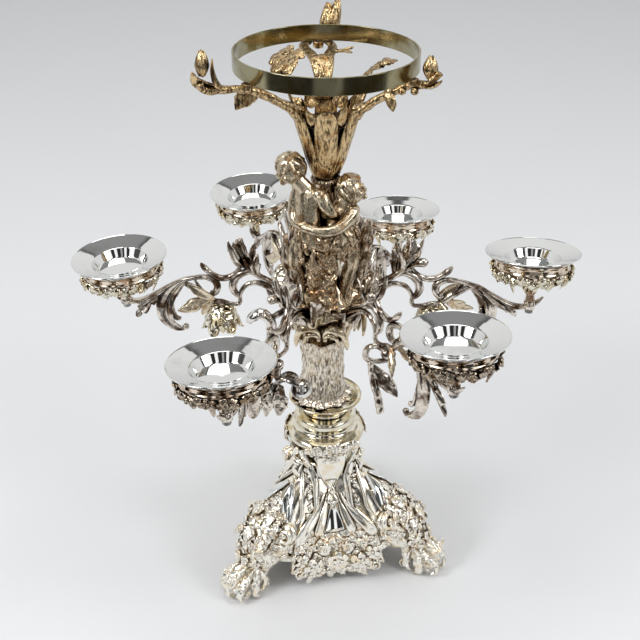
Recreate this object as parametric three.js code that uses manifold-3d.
// Table centerpiece: a three-footed base, a stem with three figures, six scrolled arms with lift-out
// dishes, and a ring on top that takes a glass bowl.
// Millimetres, Z up, the floor at Z = 0 and the stem's axis at X = Y = 0.
import * as THREE from "three";
import * as BufferGeometryUtils from "three/addons/utils/BufferGeometryUtils.js";
import Module from "manifold-3d";

const wasm = await Module();
wasm.setup();

// Clearances
const seatGap = 0.3;
const turnGap = 0.4;

// Base: three legs on a hollow three-sided dome
const legAzimuths = [221.2, 341.2, 101.2];
const domeBottom = 30;
const domeTop = 125;
const domeWall = 3;
const domeWebThickness = 5;
const domeNeckRadius = 28;
const domeSideRadius = 55;
const domeLegRadius = 86;
const legRootRadius = 56;
const legToeRadius = 134;
const legTop = 100;
const legWidth = 26;
const apronSpan = 96;
const apronStandoff = 2;
const apronHeight = 46;
const apronBottom = 11;
const bracketReach = 12;

// Turned pieces between the base and the trunk
const collarHeight = 53;
const collarTorusRadius = 40;
const collarWaistRadius = 27.6;
const collarTopRadius = 31;
const collarWall = 3;
const plateRadius = 36.5;
const plateHeight = 18;
const plateRimThickness = 2;

// Trunk
const sleeveHeight = 68;
const sleeveWaistRadius = 21;
const sleeveFlareRadius = 31;
const sleeveScallops = 9;
const sleeveScallopDepth = 4;
const trunkFootRadius = 16;
const trunkRadius = 12.5;
const trunkNeckRadius = 9.5;
const hubRadius = 27;
const hubHeight = 38;
const hubTaperRadius = 20;
const hubLift = 3.1;
const trunkHeight = 119;
const trunkNeckHeight = 21;

// Rod that draws the stem together, with its washer and nut
const rodRadius = 3;
const rodTopReach = 12;
const rodTail = 5;
const washerRadius = 9;
const washerThickness = 1.5;
const nutRadius = 7;
const nutThickness = 8;

// Figures: where each one stands and where its head is, out from the stem's axis and above the trunk's top
const figures = [
  { azimuth: 208, headReach: 35, headRise: 18 },
  { azimuth: 331, headReach: 27, headRise: -3 },
  { azimuth: 89.5, headReach: 33, headRise: 11 },
];
const headRadius = 13;
const hipReach = 31;
const hipHeight = 68;
const swagReach = 72;

// Arms: how far out and above the hub a dish's rim stands, and how far its post drops to the arm
const armReach = 196.4;
const armRise = 39;
const postDrop = 46;
// The same casting bent by hand: what each arm adds to those sizes, and how its dish leans, in degrees
const arms = [
  { name: "left", azimuth: 175.9, out: 0, higher: -1.7, longer: -3, leanOut: 3.2, leanAlong: 1.8 },
  { name: "right", azimuth: 4, out: 0.3, higher: 3.4, longer: 4, leanOut: 0.7, leanAlong: 8.4 },
  { name: "front_left", azimuth: 244.7, out: -0.1, higher: 1.3, longer: 0, leanOut: -3.2, leanAlong: -4.5 },
  { name: "front_right", azimuth: 302.9, out: -6.3, higher: 15.5, longer: 0, leanOut: -4.2, leanAlong: 0.8 },
  { name: "back_left", azimuth: 114.1, out: -3.3, higher: -4.6, longer: -1, leanOut: -1.8, leanAlong: 3.1 },
  { name: "back_right", azimuth: 64.9, out: -10.7, higher: -22, longer: -1, leanOut: 4.6, leanAlong: 2.7 },
];
const rootWidth = 10;
const bossRadius = 5.5;
const bossThickness = 8;
const flowerRadius = 17;
const flowerLength = 25;
const flowerPetals = 6;
const flowerDrop = 3.9;

// Dishes and the leafy pans that hold them
const dishRadius = 45;
const dishWellRadius = 27;
const dishFloorRadius = 19;
const dishDepth = 14;
const dishLip = 5;
const dishWall = 1.2;
const panGalleryRadius = 40;
const panFloorRadius = 29;
const panWall = 2;
const panLipGap = 1.4;
const panStemRadius = 4.5;
const panFootRadius = 5;
const panFootHeight = 3;
const screwRadius = 2.1;
const screwDepth = 7;
const screwHeadRadius = 4;
const screwHeadHeight = 4;

// Bowl holder
const beadRingRadius = 12;
const beadRingThickness = 2.4;
const calyxHeight = 66;
const calyxFootRadius = 11.5;
const calyxMouthRadius = 30.5;
const calyxWall = 2.6;
const calyxSlots = 6;
const calyxSlotWidth = 6;
const ringRadius = 80;
const ringWall = 1.8;
const ringRise = 33.6;
const ringHeight = 15;
const branches = [
  { name: "left", azimuth: 215, tip: 128 },
  { name: "right", azimuth: 335, tip: 106 },
  { name: "back", azimuth: 95, tip: 110 },
];

// Heights worked out from the sizes above
const collarBottom = domeTop + seatGap;
const collarTop = collarBottom + collarHeight;
const plateBottom = collarTop + seatGap;
const plateTop = plateBottom + plateHeight;
const sleeveBottom = plateTop + seatGap;
const sleeveTop = sleeveBottom + sleeveHeight;
const trunkBottom = plateTop + seatGap;
const hubBottom = sleeveTop + hubLift;
const hubTop = hubBottom + hubHeight;
const trunkTop = hubTop + trunkHeight;
const shoulderHeight = trunkTop - trunkNeckHeight;
const webBottom = domeTop - domeWebThickness;
const washerBottom = webBottom - seatGap - washerThickness;
const nutBottom = washerBottom - seatGap - nutThickness;
const rodBottom = nutBottom - rodTail;
const rodTop = trunkTop + rodTopReach;
const rodBore = rodRadius + turnGap;
const beadRingMiddle = trunkTop + seatGap + beadRingThickness;
const calyxBottom = beadRingMiddle + beadRingThickness + seatGap;
const calyxTop = calyxBottom + calyxHeight;
const ringBottom = calyxTop + ringRise;

const radians = THREE.MathUtils.degToRad;
const up = new THREE.Vector3(0, 0, 1);
const along = new THREE.Vector3(0, 1, 0);

// Solids
function solid(geometry) {
  const plain = geometry.clone();
  plain.deleteAttribute("normal");
  plain.deleteAttribute("uv");
  const merged = BufferGeometryUtils.mergeVertices(plain, 1e-4);
  const corners = merged.getAttribute("position");
  const point = (k) => new THREE.Vector3().fromBufferAttribute(corners, merged.index.getX(k));
  const faces = [];
  let volume = 0;
  for (let k = 0; k < merged.index.count; k += 3) {
    const face = [k, k + 1, k + 2].map((corner) => merged.index.getX(corner));
    if (new Set(face).size === 3) {
      faces.push(face);
      volume += point(k).dot(point(k + 1).cross(point(k + 2)));
    }
  }
  const outward = volume > 0 ? faces : faces.map(([a, b, c]) => [a, c, b]);
  const mesh = { numProp: 3, vertProperties: new Float32Array(corners.array) };
  mesh.triVerts = new Uint32Array(outward.flat());
  return new wasm.Manifold(new wasm.Mesh(mesh));
}

function geometryOf(shape) {
  const mesh = shape.getMesh();
  const geometry = new THREE.BufferGeometry();
  geometry.setAttribute("position", new THREE.BufferAttribute(new Float32Array(mesh.vertProperties), 3));
  geometry.setIndex(Array.from(mesh.triVerts));
  return geometry;
}

function join(geometries) {
  return geometryOf(geometries.map(solid).reduce((whole, shape) => whole.add(shape)));
}

function cut(geometry, tools) {
  return geometryOf(tools.map(solid).reduce((whole, tool) => whole.subtract(tool), solid(geometry)));
}

// A turned solid from a profile of [radius, height] points
function turned(profile, segments) {
  const points = profile.map(([radius, height]) => new THREE.Vector2(radius, height));
  return new THREE.LatheGeometry(points, segments).rotateX(Math.PI / 2);
}

// The same with a hole through it, so that the profile closes on itself
function turnedRing(profile, segments) {
  return turned([...profile, profile[0]], segments);
}

// Raises and lowers the corners at one end of a turned geometry in a wave
function scalloped(geometry, height, count, depth) {
  const corners = geometry.getAttribute("position");
  for (let index = 0; index < corners.count; index += 1) {
    const corner = new THREE.Vector3().fromBufferAttribute(corners, index);
    if (Math.abs(corner.z - height) < 1) {
      const wave = Math.cos(count * Math.atan2(corner.y, corner.x));
      corners.setZ(index, corner.z + (wave - 1) * depth / 2);
    }
  }
  return geometry;
}

function pin(radius, bottom, top, segments = 16) {
  return new THREE.CylinderGeometry(radius, radius, top - bottom, segments)
    .rotateX(Math.PI / 2)
    .translate(0, 0, (bottom + top) / 2);
}

function block(low, high) {
  const size = high.map((value, axis) => value - low[axis]);
  return new THREE.BoxGeometry(...size).translate(...high.map((value, axis) => (value + low[axis]) / 2));
}

// A closed strand through rows of [x, y, z, half width, half thickness]
function strand(rows, steps, sides = 4, across = along) {
  const curve = new THREE.CatmullRomCurve3(rows.map(([x, y, z]) => new THREE.Vector3(x, y, z)));
  const corners = [];
  const faces = [];
  for (let step = 0; step <= steps; step += 1) {
    const t = step / steps;
    const place = t * (rows.length - 1);
    const row = Math.min(Math.floor(place), rows.length - 2);
    const wide = THREE.MathUtils.lerp(rows[row][3], rows[row + 1][3], place - row);
    const thick = THREE.MathUtils.lerp(rows[row][4], rows[row + 1][4], place - row);
    const middle = curve.getPoint(t);
    const normal = curve.getTangent(t).cross(across).normalize();
    for (let side = 0; side < sides; side += 1) {
      const turn = (2 * Math.PI * side) / sides;
      const corner = middle.clone().addScaledVector(across, wide * Math.cos(turn));
      corners.push(...corner.addScaledVector(normal, thick * Math.sin(turn)));
    }
  }
  for (let step = 0; step < steps; step += 1) {
    for (let side = 0; side < sides; side += 1) {
      const a = step * sides + side;
      const b = step * sides + ((side + 1) % sides);
      faces.push(a, b, b + sides, a, b + sides, a + sides);
    }
  }
  for (let side = 1; side < sides - 1; side += 1) {
    faces.push(0, side + 1, side);
    faces.push(steps * sides, steps * sides + side, steps * sides + side + 1);
  }
  const geometry = new THREE.BufferGeometry();
  geometry.setAttribute("position", new THREE.Float32BufferAttribute(corners, 3));
  geometry.setIndex(faces);
  return geometry;
}

// A closed skin over stations of [height, side radius, leg radius], pulled out towards the legs
function lobedSkin(stations) {
  const segments = 30;
  const corners = [];
  const faces = [];
  for (const [height, sideRadius, legRadius] of stations) {
    for (let segment = 0; segment < segments; segment += 1) {
      const azimuth = (2 * Math.PI * segment) / segments;
      const lobe = ((1 + Math.cos(3 * (azimuth - radians(legAzimuths[0])))) / 2) ** 1.4;
      const radius = sideRadius + (legRadius - sideRadius) * lobe;
      corners.push(radius * Math.cos(azimuth), radius * Math.sin(azimuth), height);
    }
  }
  for (let ring = 0; ring < stations.length; ring += 1) {
    const next = (ring + 1) % stations.length;
    for (let segment = 0; segment < segments; segment += 1) {
      const beside = (segment + 1) % segments;
      const [a, b] = [ring * segments + segment, ring * segments + beside];
      const [c, d] = [next * segments + beside, next * segments + segment];
      faces.push(a, b, c, a, c, d);
    }
  }
  const geometry = new THREE.BufferGeometry();
  geometry.setAttribute("position", new THREE.Float32BufferAttribute(corners, 3));
  geometry.setIndex(faces);
  return geometry;
}

// Base
const domeStations = [
  [domeBottom, domeSideRadius, domeLegRadius - 4],
  [domeBottom + 20, domeSideRadius - 2, domeLegRadius],
  [domeBottom + 40, domeSideRadius - 9, domeLegRadius - 3],
  [domeTop - 33, domeNeckRadius + 8, domeLegRadius - 20],
  [domeTop - 23, domeNeckRadius + 3, domeLegRadius - 34],
  [domeTop - 13, domeNeckRadius - 1, domeNeckRadius + 10],
  [domeTop, domeNeckRadius, domeNeckRadius + 1],
];

function baseDome() {
  const inside = domeStations
    .filter(([height]) => height < webBottom)
    .map(([height, side, leg]) => [height, side - domeWall, leg - domeWall])
    .reverse();
  const inner = domeNeckRadius - domeWall;
  const web = [[domeTop, rodBore, rodBore], [webBottom, rodBore, rodBore], [webBottom, inner, inner]];
  return lobedSkin([...domeStations, ...web, ...inside]);
}

// The room that the dome takes up, with the seat clearance all round
function domeRoom() {
  const grown = domeStations.map(([height, side, leg]) => [height, side + seatGap, leg + seatGap]);
  const [lowest] = grown;
  const bore = [[domeTop, 0.01, 0.01], [-1, 0.01, 0.01]];
  return lobedSkin([[-1, lowest[1], lowest[2]], ...grown, ...bore]);
}

// One scrolled leg, pointing along +X and drawn for a toe at 134 and a top at 100
function leg() {
  const wide = legWidth / 2;
  const root = legRootRadius;
  const out = (radius) => root + ((radius - root) * (legToeRadius - root)) / (134 - root);
  const raised = (height) => (height * legTop) / 100;
  const limb = strand([
    [root, 0, legTop, wide - 4, 5],
    [out(76), 0, raised(88), wide - 1, 7],
    [out(95), 0, raised(70), wide + 1, 9],
    [out(101), 0, raised(48), wide, 9],
    [out(99), 0, raised(30), wide - 3, 9],
    [out(107), 0, 15, wide - 1, 14],
    [out(119), 0, 11, wide, 15],
    [out(132), 0, 13, wide - 4, 8],
  ], 11, 6);
  const knee = strand([
    [out(66), 0, raised(70), wide, 6],
    [out(78), 0, raised(54), wide + 2, 8],
    [out(101) - 17, 0, raised(38), wide, 7],
    [out(99) - 9, 0, raised(27), wide - 4, 5],
  ], 4, 6);
  const heel = strand([
    [out(88), 0, 5, wide - 2, 6],
    [out(98), 0, 7, wide, 9],
    [out(114), 0, 7, wide, 9],
  ], 3, 6);
  return cut(join([limb, knee, heel]), [block([0, -50, -30], [200, 50, 0])]);
}

// One pierced floral apron between two legs, facing +X, with a volute at each end
function apron() {
  const half = apronSpan / 2;
  const middle = apronBottom + apronHeight / 2;
  const distance = domeSideRadius + apronStandoff;
  const plate = strand([
    [distance, -half, middle + 8, apronHeight / 2 - 10, 4],
    [distance, -half * 0.5, middle, apronHeight / 2 - 2, 4.5],
    [distance + 2, 0, middle - 1, apronHeight / 2, 5],
    [distance, half * 0.5, middle, apronHeight / 2 - 2, 4.5],
    [distance, half, middle + 8, apronHeight / 2 - 10, 4],
  ], 8, 6, up);
  const rolls = [-1, 1].map((hand) => {
    const roll = new THREE.CylinderGeometry(8, 8, 12, 10).rotateZ(Math.PI / 2);
    return roll.translate(distance + 2, hand * (half - 6), middle + 16);
  });
  return join([plate, ...rolls]);
}

// One scrolled bracket at the neck, pointing along +X
function neckBracket() {
  const outer = domeNeckRadius + bracketReach - 3;
  return strand([
    [domeNeckRadius + 5, 0, domeTop - 17, 7, 3],
    [outer, 0, domeTop - 7, 8, 3],
    [outer - 2, 0, domeTop + 1, 6, 2.5],
    [outer - 1, 0, domeTop + 8, 7, 3],
    [outer - 5, 0, domeTop + 11, 5, 2],
  ], 6, 5);
}

function baseCollar() {
  const low = collarBottom;
  const high = collarTop;
  const foot = domeNeckRadius - 2.5;
  const inner = foot - collarWall;
  return turnedRing([
    [rodBore, high], [collarTopRadius - 6, high], [collarTopRadius, high - 4],
    [collarTopRadius, high - 8], [collarWaistRadius, high - 13], [collarTopRadius, high - 18],
    [collarTorusRadius, high - 20], [collarTorusRadius, high - 27], [collarTorusRadius - 7, high - 32],
    [foot, low + 7], [foot, low], [inner, low], [inner, high - collarWall * 2],
    [rodBore, high - collarWall * 2],
  ], 24);
}

function dripPlate() {
  const foot = collarTopRadius - 9;
  return turnedRing([
    [rodBore, plateTop], [sleeveWaistRadius + 3, plateTop], [plateRadius - 5, plateTop - 1.5],
    [plateRadius, plateTop], [plateRadius, plateTop - plateRimThickness], [foot + 4, plateBottom + 10],
    [foot, plateBottom + 6], [foot, plateBottom], [rodBore, plateBottom],
  ], 24);
}

function trunkSleeve() {
  const bore = trunkFootRadius + seatGap;
  const waist = sleeveWaistRadius;
  const flare = sleeveFlareRadius;
  const sleeve = turnedRing([
    [bore, sleeveBottom], [waist + 3, sleeveBottom], [waist, sleeveBottom + 10], [waist, sleeveTop - 28],
    [waist + 3, sleeveTop - 12], [flare, sleeveTop], [flare - 4, sleeveTop], [waist + 1, sleeveTop - 8],
    [bore, sleeveTop - 14],
  ], sleeveScallops * 3);
  return scalloped(sleeve, sleeveTop, sleeveScallops, sleeveScallopDepth);
}

function trunkCore() {
  return turnedRing([
    [rodBore, trunkTop], [trunkNeckRadius, trunkTop], [trunkNeckRadius, shoulderHeight],
    [trunkRadius, shoulderHeight - 10], [trunkRadius, hubTop + 14], [trunkFootRadius, hubTop],
    [trunkFootRadius, trunkBottom], [rodBore, trunkBottom],
  ], 20);
}

function branchHub() {
  const bore = trunkFootRadius + seatGap;
  return turnedRing([
    [bore, hubTop], [hubRadius - 2, hubTop], [hubRadius, hubTop - 2], [hubRadius, hubTop - 17],
    [hubTaperRadius + 2, hubBottom + 6], [hubTaperRadius, hubBottom], [bore, hubBottom],
  ], 24);
}

function tieRod() {
  return pin(rodRadius, rodBottom, rodTop, 12);
}

function rodWasher() {
  const top = washerBottom + washerThickness;
  return turnedRing([
    [rodBore, washerBottom], [washerRadius, washerBottom], [washerRadius, top], [rodBore, top],
  ], 24);
}

function rodNut() {
  const top = nutBottom + nutThickness;
  return cut(pin(nutRadius, nutBottom, top, 6), [pin(rodBore, nutBottom - 1, top + 1, 12)]);
}

// One child figure holding the trunk, looking out along +X, with a swag of cloth towards the next one
function figure({ headReach, headRise }) {
  const hip = hipReach;
  const lap = hubTop + hipHeight;
  const headHeight = trunkTop + headRise;
  const neck = headHeight - headRadius + 2;
  const head = new THREE.SphereGeometry(headRadius, 8, 6).translate(headReach, 0, headHeight);
  const torso = strand([
    [headReach - 4, 0, neck, 6, 6],
    [28, 0, neck - 9, 12, 8],
    [28, 0, neck - 24, 11, 9],
    [hip, 0, lap + 10, 12, 10],
    [hip + 1, 0, lap - 6, 10, 7],
  ], 5, 6);
  const limbs = [-1, 1].flatMap((hand) => {
    const arm = strand([
      [28, hand * 9, neck - 8, 5, 5],
      [27, hand * 17, neck - 19, 4.5, 4.5],
      [20, hand * 17, neck - 29, 4, 4],
      [14, hand * 12, neck - 33, 3, 3],
    ], 3, 4, up);
    const thigh = strand([
      [hip, hand * 6, lap, 7, 7],
      [hip + 5, hand * 11, lap - 14, 6.5, 6.5],
      [hip + 3, hand * 12, lap - 24, 5.5, 5.5],
      [hip - 3, hand * 10, hubTop + 26, 5, 5],
      [hip - 5, hand * 7, hubTop + 8, 4, 4],
      [hip - 3, hand * 6, hubTop + seatGap, 4, 5],
    ], 5, 4);
    return [arm, thigh];
  });
  const swagRows = [
    [hip + 8, 0, 2, 8, 3],
    [hip + 5, 0.4, 10, 7, 3],
    [hip + 2, 0.75, 14, 5, 3],
    [hip, 1, 17, 4, 3],
  ];
  const swag = strand(swagRows.map(([reach, share, rise, wide, thick]) => {
    const turn = radians(share * swagReach);
    return [reach * Math.cos(turn), reach * Math.sin(turn), lap + rise, wide, thick];
  }), 4, 4, up);
  const seat = block([0, -60, 0], [200, 60, hubTop + seatGap]);
  const trunk = turned([
    [0, hubTop - 1], [trunkFootRadius + seatGap, hubTop - 1], [trunkFootRadius + seatGap, hubTop],
    [trunkRadius + seatGap, hubTop + 14], [trunkRadius + seatGap, shoulderHeight - 9],
    [trunkNeckRadius + seatGap, shoulderHeight + 1], [trunkNeckRadius + seatGap, trunkTop],
    [beadRingRadius + beadRingThickness + seatGap, trunkTop], [calyxFootRadius + 8, calyxBottom + 15],
    [calyxFootRadius + 14.5, calyxBottom + 34], [0, calyxBottom + 34],
  ], 12);
  return cut(join([head, torso, ...limbs, swag]), [seat, trunk]);
}

// Arms: the strands of one casting as it is drawn, before it is bent to each arm's own place
const castingRoot = 27;
const castingPad = 300;
const castingHub = 306;
const castingTail = castingPad - bossThickness + 2;
const stalkSeat = [101, 0, 297.5, 3.5, 2];

// The dish's own frame: its origin at the rim's centre and Z along the pan's axis
function panFrame(arm) {
  const lean = new THREE.Euler(-radians(arm.leanAlong), radians(arm.leanOut), 0);
  const middle = [armReach + arm.out, 0, hubTop + armRise + arm.higher];
  return new THREE.Matrix4().makeRotationFromEuler(lean).setPosition(...middle);
}

// Where the pan's foot is in that frame
function footHeight(arm) {
  return -postDrop - arm.longer;
}

function bent(rows, arm) {
  const foot = new THREE.Vector3(0, 0, footHeight(arm)).applyMatrix4(panFrame(arm));
  return rows.map(([radius, side, height, wide, thick]) => {
    const share = (radius - castingRoot) / (armReach - castingRoot);
    const ease = THREE.MathUtils.smoothstep(radius, castingRoot, armReach);
    const x = hubRadius + share * (foot.x - hubRadius);
    const lift = ease * (foot.z - castingPad) + (1 - ease) * (hubTop - castingHub);
    return [x, side + ease * foot.y, height + lift, wide, thick];
  });
}

const armStrands = [
  // Stems that leave the trunk
  {
    steps: 6,
    rows: [
      [castingRoot + 4, 0, castingHub - 6, 4, 4], [48, 0, 311, 3, 3], [67, 0, 319, 2, 2.5],
      [80, 0, 312, 2, 2], [83, 0, 304, 2, 2.5],
    ],
  },
  {
    steps: 4,
    rows: [
      [castingRoot + 4, 0, castingHub - 3, 3, 3], [44, 0, 316, 3, 3], [61, 0, 325, 2.5, 2.5],
      [75, 0, 336, 3, 3],
    ],
  },
  // Scroll that curls back under the palmette
  {
    steps: 6,
    rows: [
      [66, 0, 327, 2, 2], [79, 0, 331, 3, 2.5], [88, 0, 322, 3, 3], [89, 0, 311, 2.5, 3],
      [83, 0, 304, 2, 2.5],
    ],
  },
  // Palmette
  { steps: 3, rows: [[74, 0, 330, 2, 3], [79, 0, 346, 2.4, 6], [80, 0, 364, 0.8, 2]] },
  { steps: 3, rows: [[76, 0, 332, 1.5, 2], [85, 3, 341, 1.5, 2.4], [91, 5, 362, 0.6, 0.8]] },
  {
    steps: 3,
    rows: [[78, 0, 334, 2, 2], [91, 0, 331, 2.4, 3.4], [101, 0, 326, 2, 2.6], [112, 0, 322, 1.2, 1.2]],
  },
  // Stalk that carries the flower
  { steps: 4, rows: [[83, 0, 304, 2, 2.2], [86, 0, 297, 2, 2], stalkSeat, [116, 0, 302, 2, 2.2]] },
  // Second scroll
  {
    steps: 4,
    rows: [[111, 0, 298, 1.6, 1.8], [119, 0, 305, 2.6, 4], [129, 0, 311, 2.4, 3], [141, 0, 317, 2, 2]],
  },
  {
    steps: 11,
    rows: [
      [107, 0, 307, 3, 3], [105, 0, 315, 3.2, 3.2], [113, 0, 321.5, 2.4, 2.4], [128, 0, 321, 2, 2.2],
      [142, 0, 317, 2.4, 2.6], [157, 0, 308, 3, 3], [172, 0, 298.5, 3.4, 3],
      [armReach - 12.4, 0, castingTail, 4, 2.4], [armReach + 0.6, 0, castingTail, 4, 2],
      [armReach + 12.6, 0, castingPad, 1, 1],
    ],
  },
  // Hanging crescent leaf and the pointed leaf
  {
    steps: 6,
    rows: [
      [142, 0, 315, 2.5, 3], [154, 0, 301, 5, 6], [160, 0, 284, 6, 6.5], [157, 0, 272, 5, 5],
      [150, 0, 265.5, 3, 3], [141, 0, 264.5, 1, 1],
    ],
  },
  { steps: 3, rows: [[112, 1, 299, 1.5, 2], [127, 4, 293, 2, 5], [143, 6, 288, 0.6, 0.8]] },
  // Leaf at the trunk
  {
    steps: 3,
    rows: [[castingRoot + 5, 1, castingHub - 6, 3, 3.5], [39, 3, 311, 3, 7], [46, 5, 325, 1, 1.5]],
  },
];

function armCasting(arm) {
  const strands = armStrands.map(({ rows, steps, sides = 4 }) => strand(bent(rows, arm), steps, sides));
  const rootInner = hubRadius + seatGap;
  const root = block([rootInner, -rootWidth / 2, hubTop - 15], [hubRadius + 8, rootWidth / 2, hubTop]);
  const frame = panFrame(arm);
  const bossTop = footHeight(arm) - seatGap;
  const boss = pin(bossRadius, bossTop - bossThickness, bossTop, 10).applyMatrix4(frame);
  const hole = pin(screwRadius + turnGap, bossTop - bossThickness - 5, bossTop + 5, 8).applyMatrix4(frame);
  const bloom = flowerTop(arm);
  const postTop = bloom.z + flowerDrop + 1.1;
  const post = pin(2.5, bloom.z + seatGap, postTop, 6).translate(bloom.x, bloom.y, 0);
  return cut(join([root, ...strands, boss, post]), [hole]);
}

// The flower's seat, under the stalk
function flowerTop(arm) {
  const [radius, , height] = stalkSeat;
  const [place] = bent([[radius + 0.5, 0, height - flowerDrop]], arm);
  return new THREE.Vector3(...place.slice(0, 3));
}

// One hanging flower, its seat at the origin and its petals below
function flower() {
  const bell = turned([
    [0, 0], [3.5, 0], [8, -6], [12, -14], [flowerRadius, -flowerLength], [flowerRadius - 2, -flowerLength],
    [7, -12], [0, -10],
  ], flowerPetals * 2);
  return scalloped(bell, -flowerLength, flowerPetals, -8);
}

// Dishes, pans and their screws, in the dish's frame
function dish() {
  const rim = dishRadius;
  const well = dishWellRadius;
  return turned([
    [0, -dishDepth], [dishFloorRadius, -dishDepth], [well - 2, -dishLip - 4], [well, -dishLip], [rim, 0],
    [rim, -dishWall], [well + 1, -dishLip - dishWall], [dishFloorRadius + 2, -dishDepth - dishWall],
    [0, -dishDepth - dishWall],
  ], 20);
}

function pan(arm) {
  const floor = -dishDepth - dishWall - seatGap;
  const flangeSlope = dishLip / (dishRadius - dishWellRadius);
  const rim = -flangeSlope * (dishRadius - panGalleryRadius) - dishWall - panLipGap;
  const foot = footHeight(arm);
  const socket = screwRadius + turnGap;
  return turned([
    [0, floor], [panFloorRadius, floor], [panGalleryRadius - panWall, rim], [panGalleryRadius, rim],
    [panGalleryRadius - 2, rim - 6], [panFloorRadius + 2, floor - 1], [panFloorRadius / 2, floor - 5],
    [panStemRadius, floor - 10], [panStemRadius, foot + panFootHeight], [panFootRadius, foot],
    [socket, foot], [socket, foot + screwDepth + 1], [0, foot + screwDepth + 1],
  ], 16);
}

function panScrew(arm) {
  const top = footHeight(arm) + screwDepth;
  const head = footHeight(arm) - bossThickness - 2 * seatGap;
  return turned([
    [0, top], [screwRadius, top], [screwRadius, head],
    [screwHeadRadius, head], [screwHeadRadius, head - screwHeadHeight + 1],
    [screwHeadRadius - 1, head - screwHeadHeight], [0, head - screwHeadHeight],
  ], 8);
}

// Bowl holder
function beadCollar() {
  const middle = beadRingMiddle;
  const half = beadRingThickness;
  return turnedRing([
    [rodBore, middle - half], [beadRingRadius, middle - half], [beadRingRadius + half, middle],
    [beadRingRadius, middle + half], [rodBore, middle + half],
  ], 24);
}

function calyx() {
  const foot = calyxFootRadius;
  const mouth = calyxMouthRadius;
  const low = calyxBottom;
  const body = turnedRing([
    [rodBore, low], [foot, low], [foot + 6, low + 14], [foot + 13, low + 33], [mouth, calyxTop - 8],
    [mouth + 2, calyxTop], [mouth - 2, calyxTop], [mouth - calyxWall, calyxTop - 8],
    [foot + 13 - calyxWall, low + 33], [foot + 6 - calyxWall, low + 14], [rodBore, low + 9],
  ], 24);
  const slots = Array.from({ length: calyxSlots }, (_, index) => {
    const rows = [
      [foot + 13, 0, low + 16, 0.5, 12],
      [foot + 13, 0, low + 28, calyxSlotWidth / 2, 12],
      [foot + 13, 0, low + 36, calyxSlotWidth / 2, 12],
      [foot + 13, 0, low + 50, 0.5, 12],
    ];
    return strand(rows, 3).rotateZ((2 * Math.PI * (index + 0.5)) / calyxSlots);
  });
  return cut(body, slots);
}

// One branch of the bowl holder, pointing along +X, from the calyx's mouth to its bud outside the ring
function topBranch(branch) {
  const start = calyxMouthRadius;
  const seat = ringRadius - ringWall / 2;
  const bottom = ringBottom - seatGap;
  const beyond = (radius) => seat + ((radius - seat) * (branch.tip - seat)) / (128 - seat);
  const stem = strand([
    [start + 2, 0, calyxTop + 4, 3.5, 3],
    [start + 14, 0, calyxTop + 11, 4, 3],
    [start + 32, 0, bottom - 9, 4, 2.6],
    [seat, 0, bottom - 4, 3.5, 2.5],
    [beyond(96), 0, bottom + 1, 3, 2.5],
    [beyond(110), 0, bottom + 8, 4, 3],
    [beyond(128), 0, bottom + 17, 1, 1],
  ], 8, 5);
  const bud = strand([
    [beyond(100), 0, bottom + 3, 2, 2],
    [beyond(112), 0, bottom + 12, 4, 4],
    [beyond(118), 0, bottom + 21, 5, 5],
    [beyond(121), 0, bottom + 34, 0.8, 0.8],
  ], 4, 5);
  const budLeaf = strand([
    [beyond(98), 0, bottom + 2, 2, 1.5],
    [beyond(106), 3, bottom + 14, 4, 1.5],
    [beyond(107), 4, bottom + 22, 1, 0.8],
  ], 2);
  const hangingLeaf = strand([
    [seat - 8, 0, bottom - 5, 3, 2],
    [seat + 2, -6, bottom - 13, 6, 1.8],
    [seat + 9, -9, bottom - 22, 1, 0.8],
  ], 3);
  const innerLeaf = strand([
    [start + 10, 0, calyxTop + 7, 3, 2],
    [start + 8, 8, calyxTop + 18, 9, 2],
    [start + 12, 12, calyxTop + 30, 9, 2],
    [start + 18, 14, calyxTop + 44, 1.5, 1],
  ], 4);
  const pad = block([seat - 5, -5, bottom - 6], [seat + 5, 5, bottom]);
  const foot = block([start - 4, -4, calyxTop + seatGap], [start + 6, 4, calyxTop + 6]);
  return join([foot, stem, bud, budLeaf, hangingLeaf, innerLeaf, pad]);
}

function bowlRing() {
  const inner = ringRadius - ringWall;
  const top = ringBottom + ringHeight;
  return turnedRing([[inner, ringBottom], [ringRadius, ringBottom], [ringRadius, top], [inner, top]], 48);
}

// Finishes
function finish(colour, roughness) {
  return new THREE.MeshStandardMaterial({ color: colour, roughness, metalness: 1, flatShading: true });
}
const brightSilver = finish(0xe9e6df, 0.12);
const castSilver = finish(0xd8d0c0, 0.28);
const agedSilver = finish(0xbfa787, 0.34);
const goldenSilver = finish(0xb89a6a, 0.36);
const agedNickel = finish(0xa3a08c, 0.38);
const steel = finish(0x8c8f92, 0.45);

// Assembly
const centerpiece = new THREE.Group();
centerpiece.name = "table_centerpiece";

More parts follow.
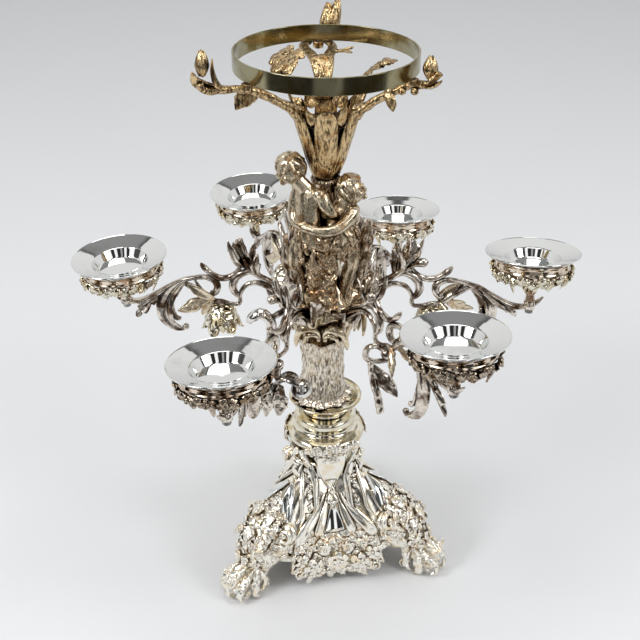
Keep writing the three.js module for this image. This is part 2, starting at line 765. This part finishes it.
function add(name, geometry, material, parent = centerpiece, azimuth = 0) {
  const mesh = new THREE.Mesh(geometryOf(solid(geometry)), material);
  mesh.name = name;
  mesh.rotation.z = radians(azimuth);
  parent.add(mesh);
}

add("base_dome", baseDome(), brightSilver);
legAzimuths.forEach((azimuth, index) => {
  const room = domeRoom().rotateZ(-radians(azimuth));
  const roomBetween = domeRoom().rotateZ(-radians(azimuth + 60));
  add(`foot_${index + 1}`, cut(leg(), [room]), brightSilver, centerpiece, azimuth);
  add(`apron_${index + 1}`, cut(apron(), [roomBetween]), brightSilver, centerpiece, azimuth + 60);
  add(`neck_bracket_${index + 1}`, cut(neckBracket(), [room]), brightSilver, centerpiece, azimuth);
});
add("base_collar", baseCollar(), brightSilver);
add("drip_plate", dripPlate(), brightSilver);
add("trunk_sleeve", trunkSleeve(), castSilver);
add("trunk_core", trunkCore(), goldenSilver);
add("branch_hub", branchHub(), goldenSilver);
add("tie_rod", tieRod(), steel);
add("rod_washer", rodWasher(), steel);
add("rod_nut", rodNut(), steel);
figures.forEach((place, index) => {
  add(`figure_${index + 1}`, figure(place), goldenSilver, centerpiece, place.azimuth);
});

for (const arm of arms) {
  const side = new THREE.Group();
  side.rotation.z = radians(arm.azimuth);
  add(`arm_${arm.name}`, armCasting(arm), agedSilver, side);
  const bloom = new THREE.Group();
  bloom.position.copy(flowerTop(arm));
  add(`flower_${arm.name}`, flower(), agedSilver, bloom);
  const seat = new THREE.Group();
  seat.applyMatrix4(panFrame(arm));
  add(`pan_${arm.name}`, pan(arm), agedSilver, seat);
  add(`pan_screw_${arm.name}`, panScrew(arm), steel, seat);
  add(`dish_${arm.name}`, dish(), brightSilver, seat);
  side.add(bloom, seat);
  centerpiece.add(side);
}

add("bead_collar", beadCollar(), goldenSilver);
add("calyx", calyx(), goldenSilver);
for (const branch of branches) {
  add(`branch_${branch.name}`, topBranch(branch), agedSilver, centerpiece, branch.azimuth);
}
add("bowl_ring", bowlRing(), agedNickel);

export default centerpiece;
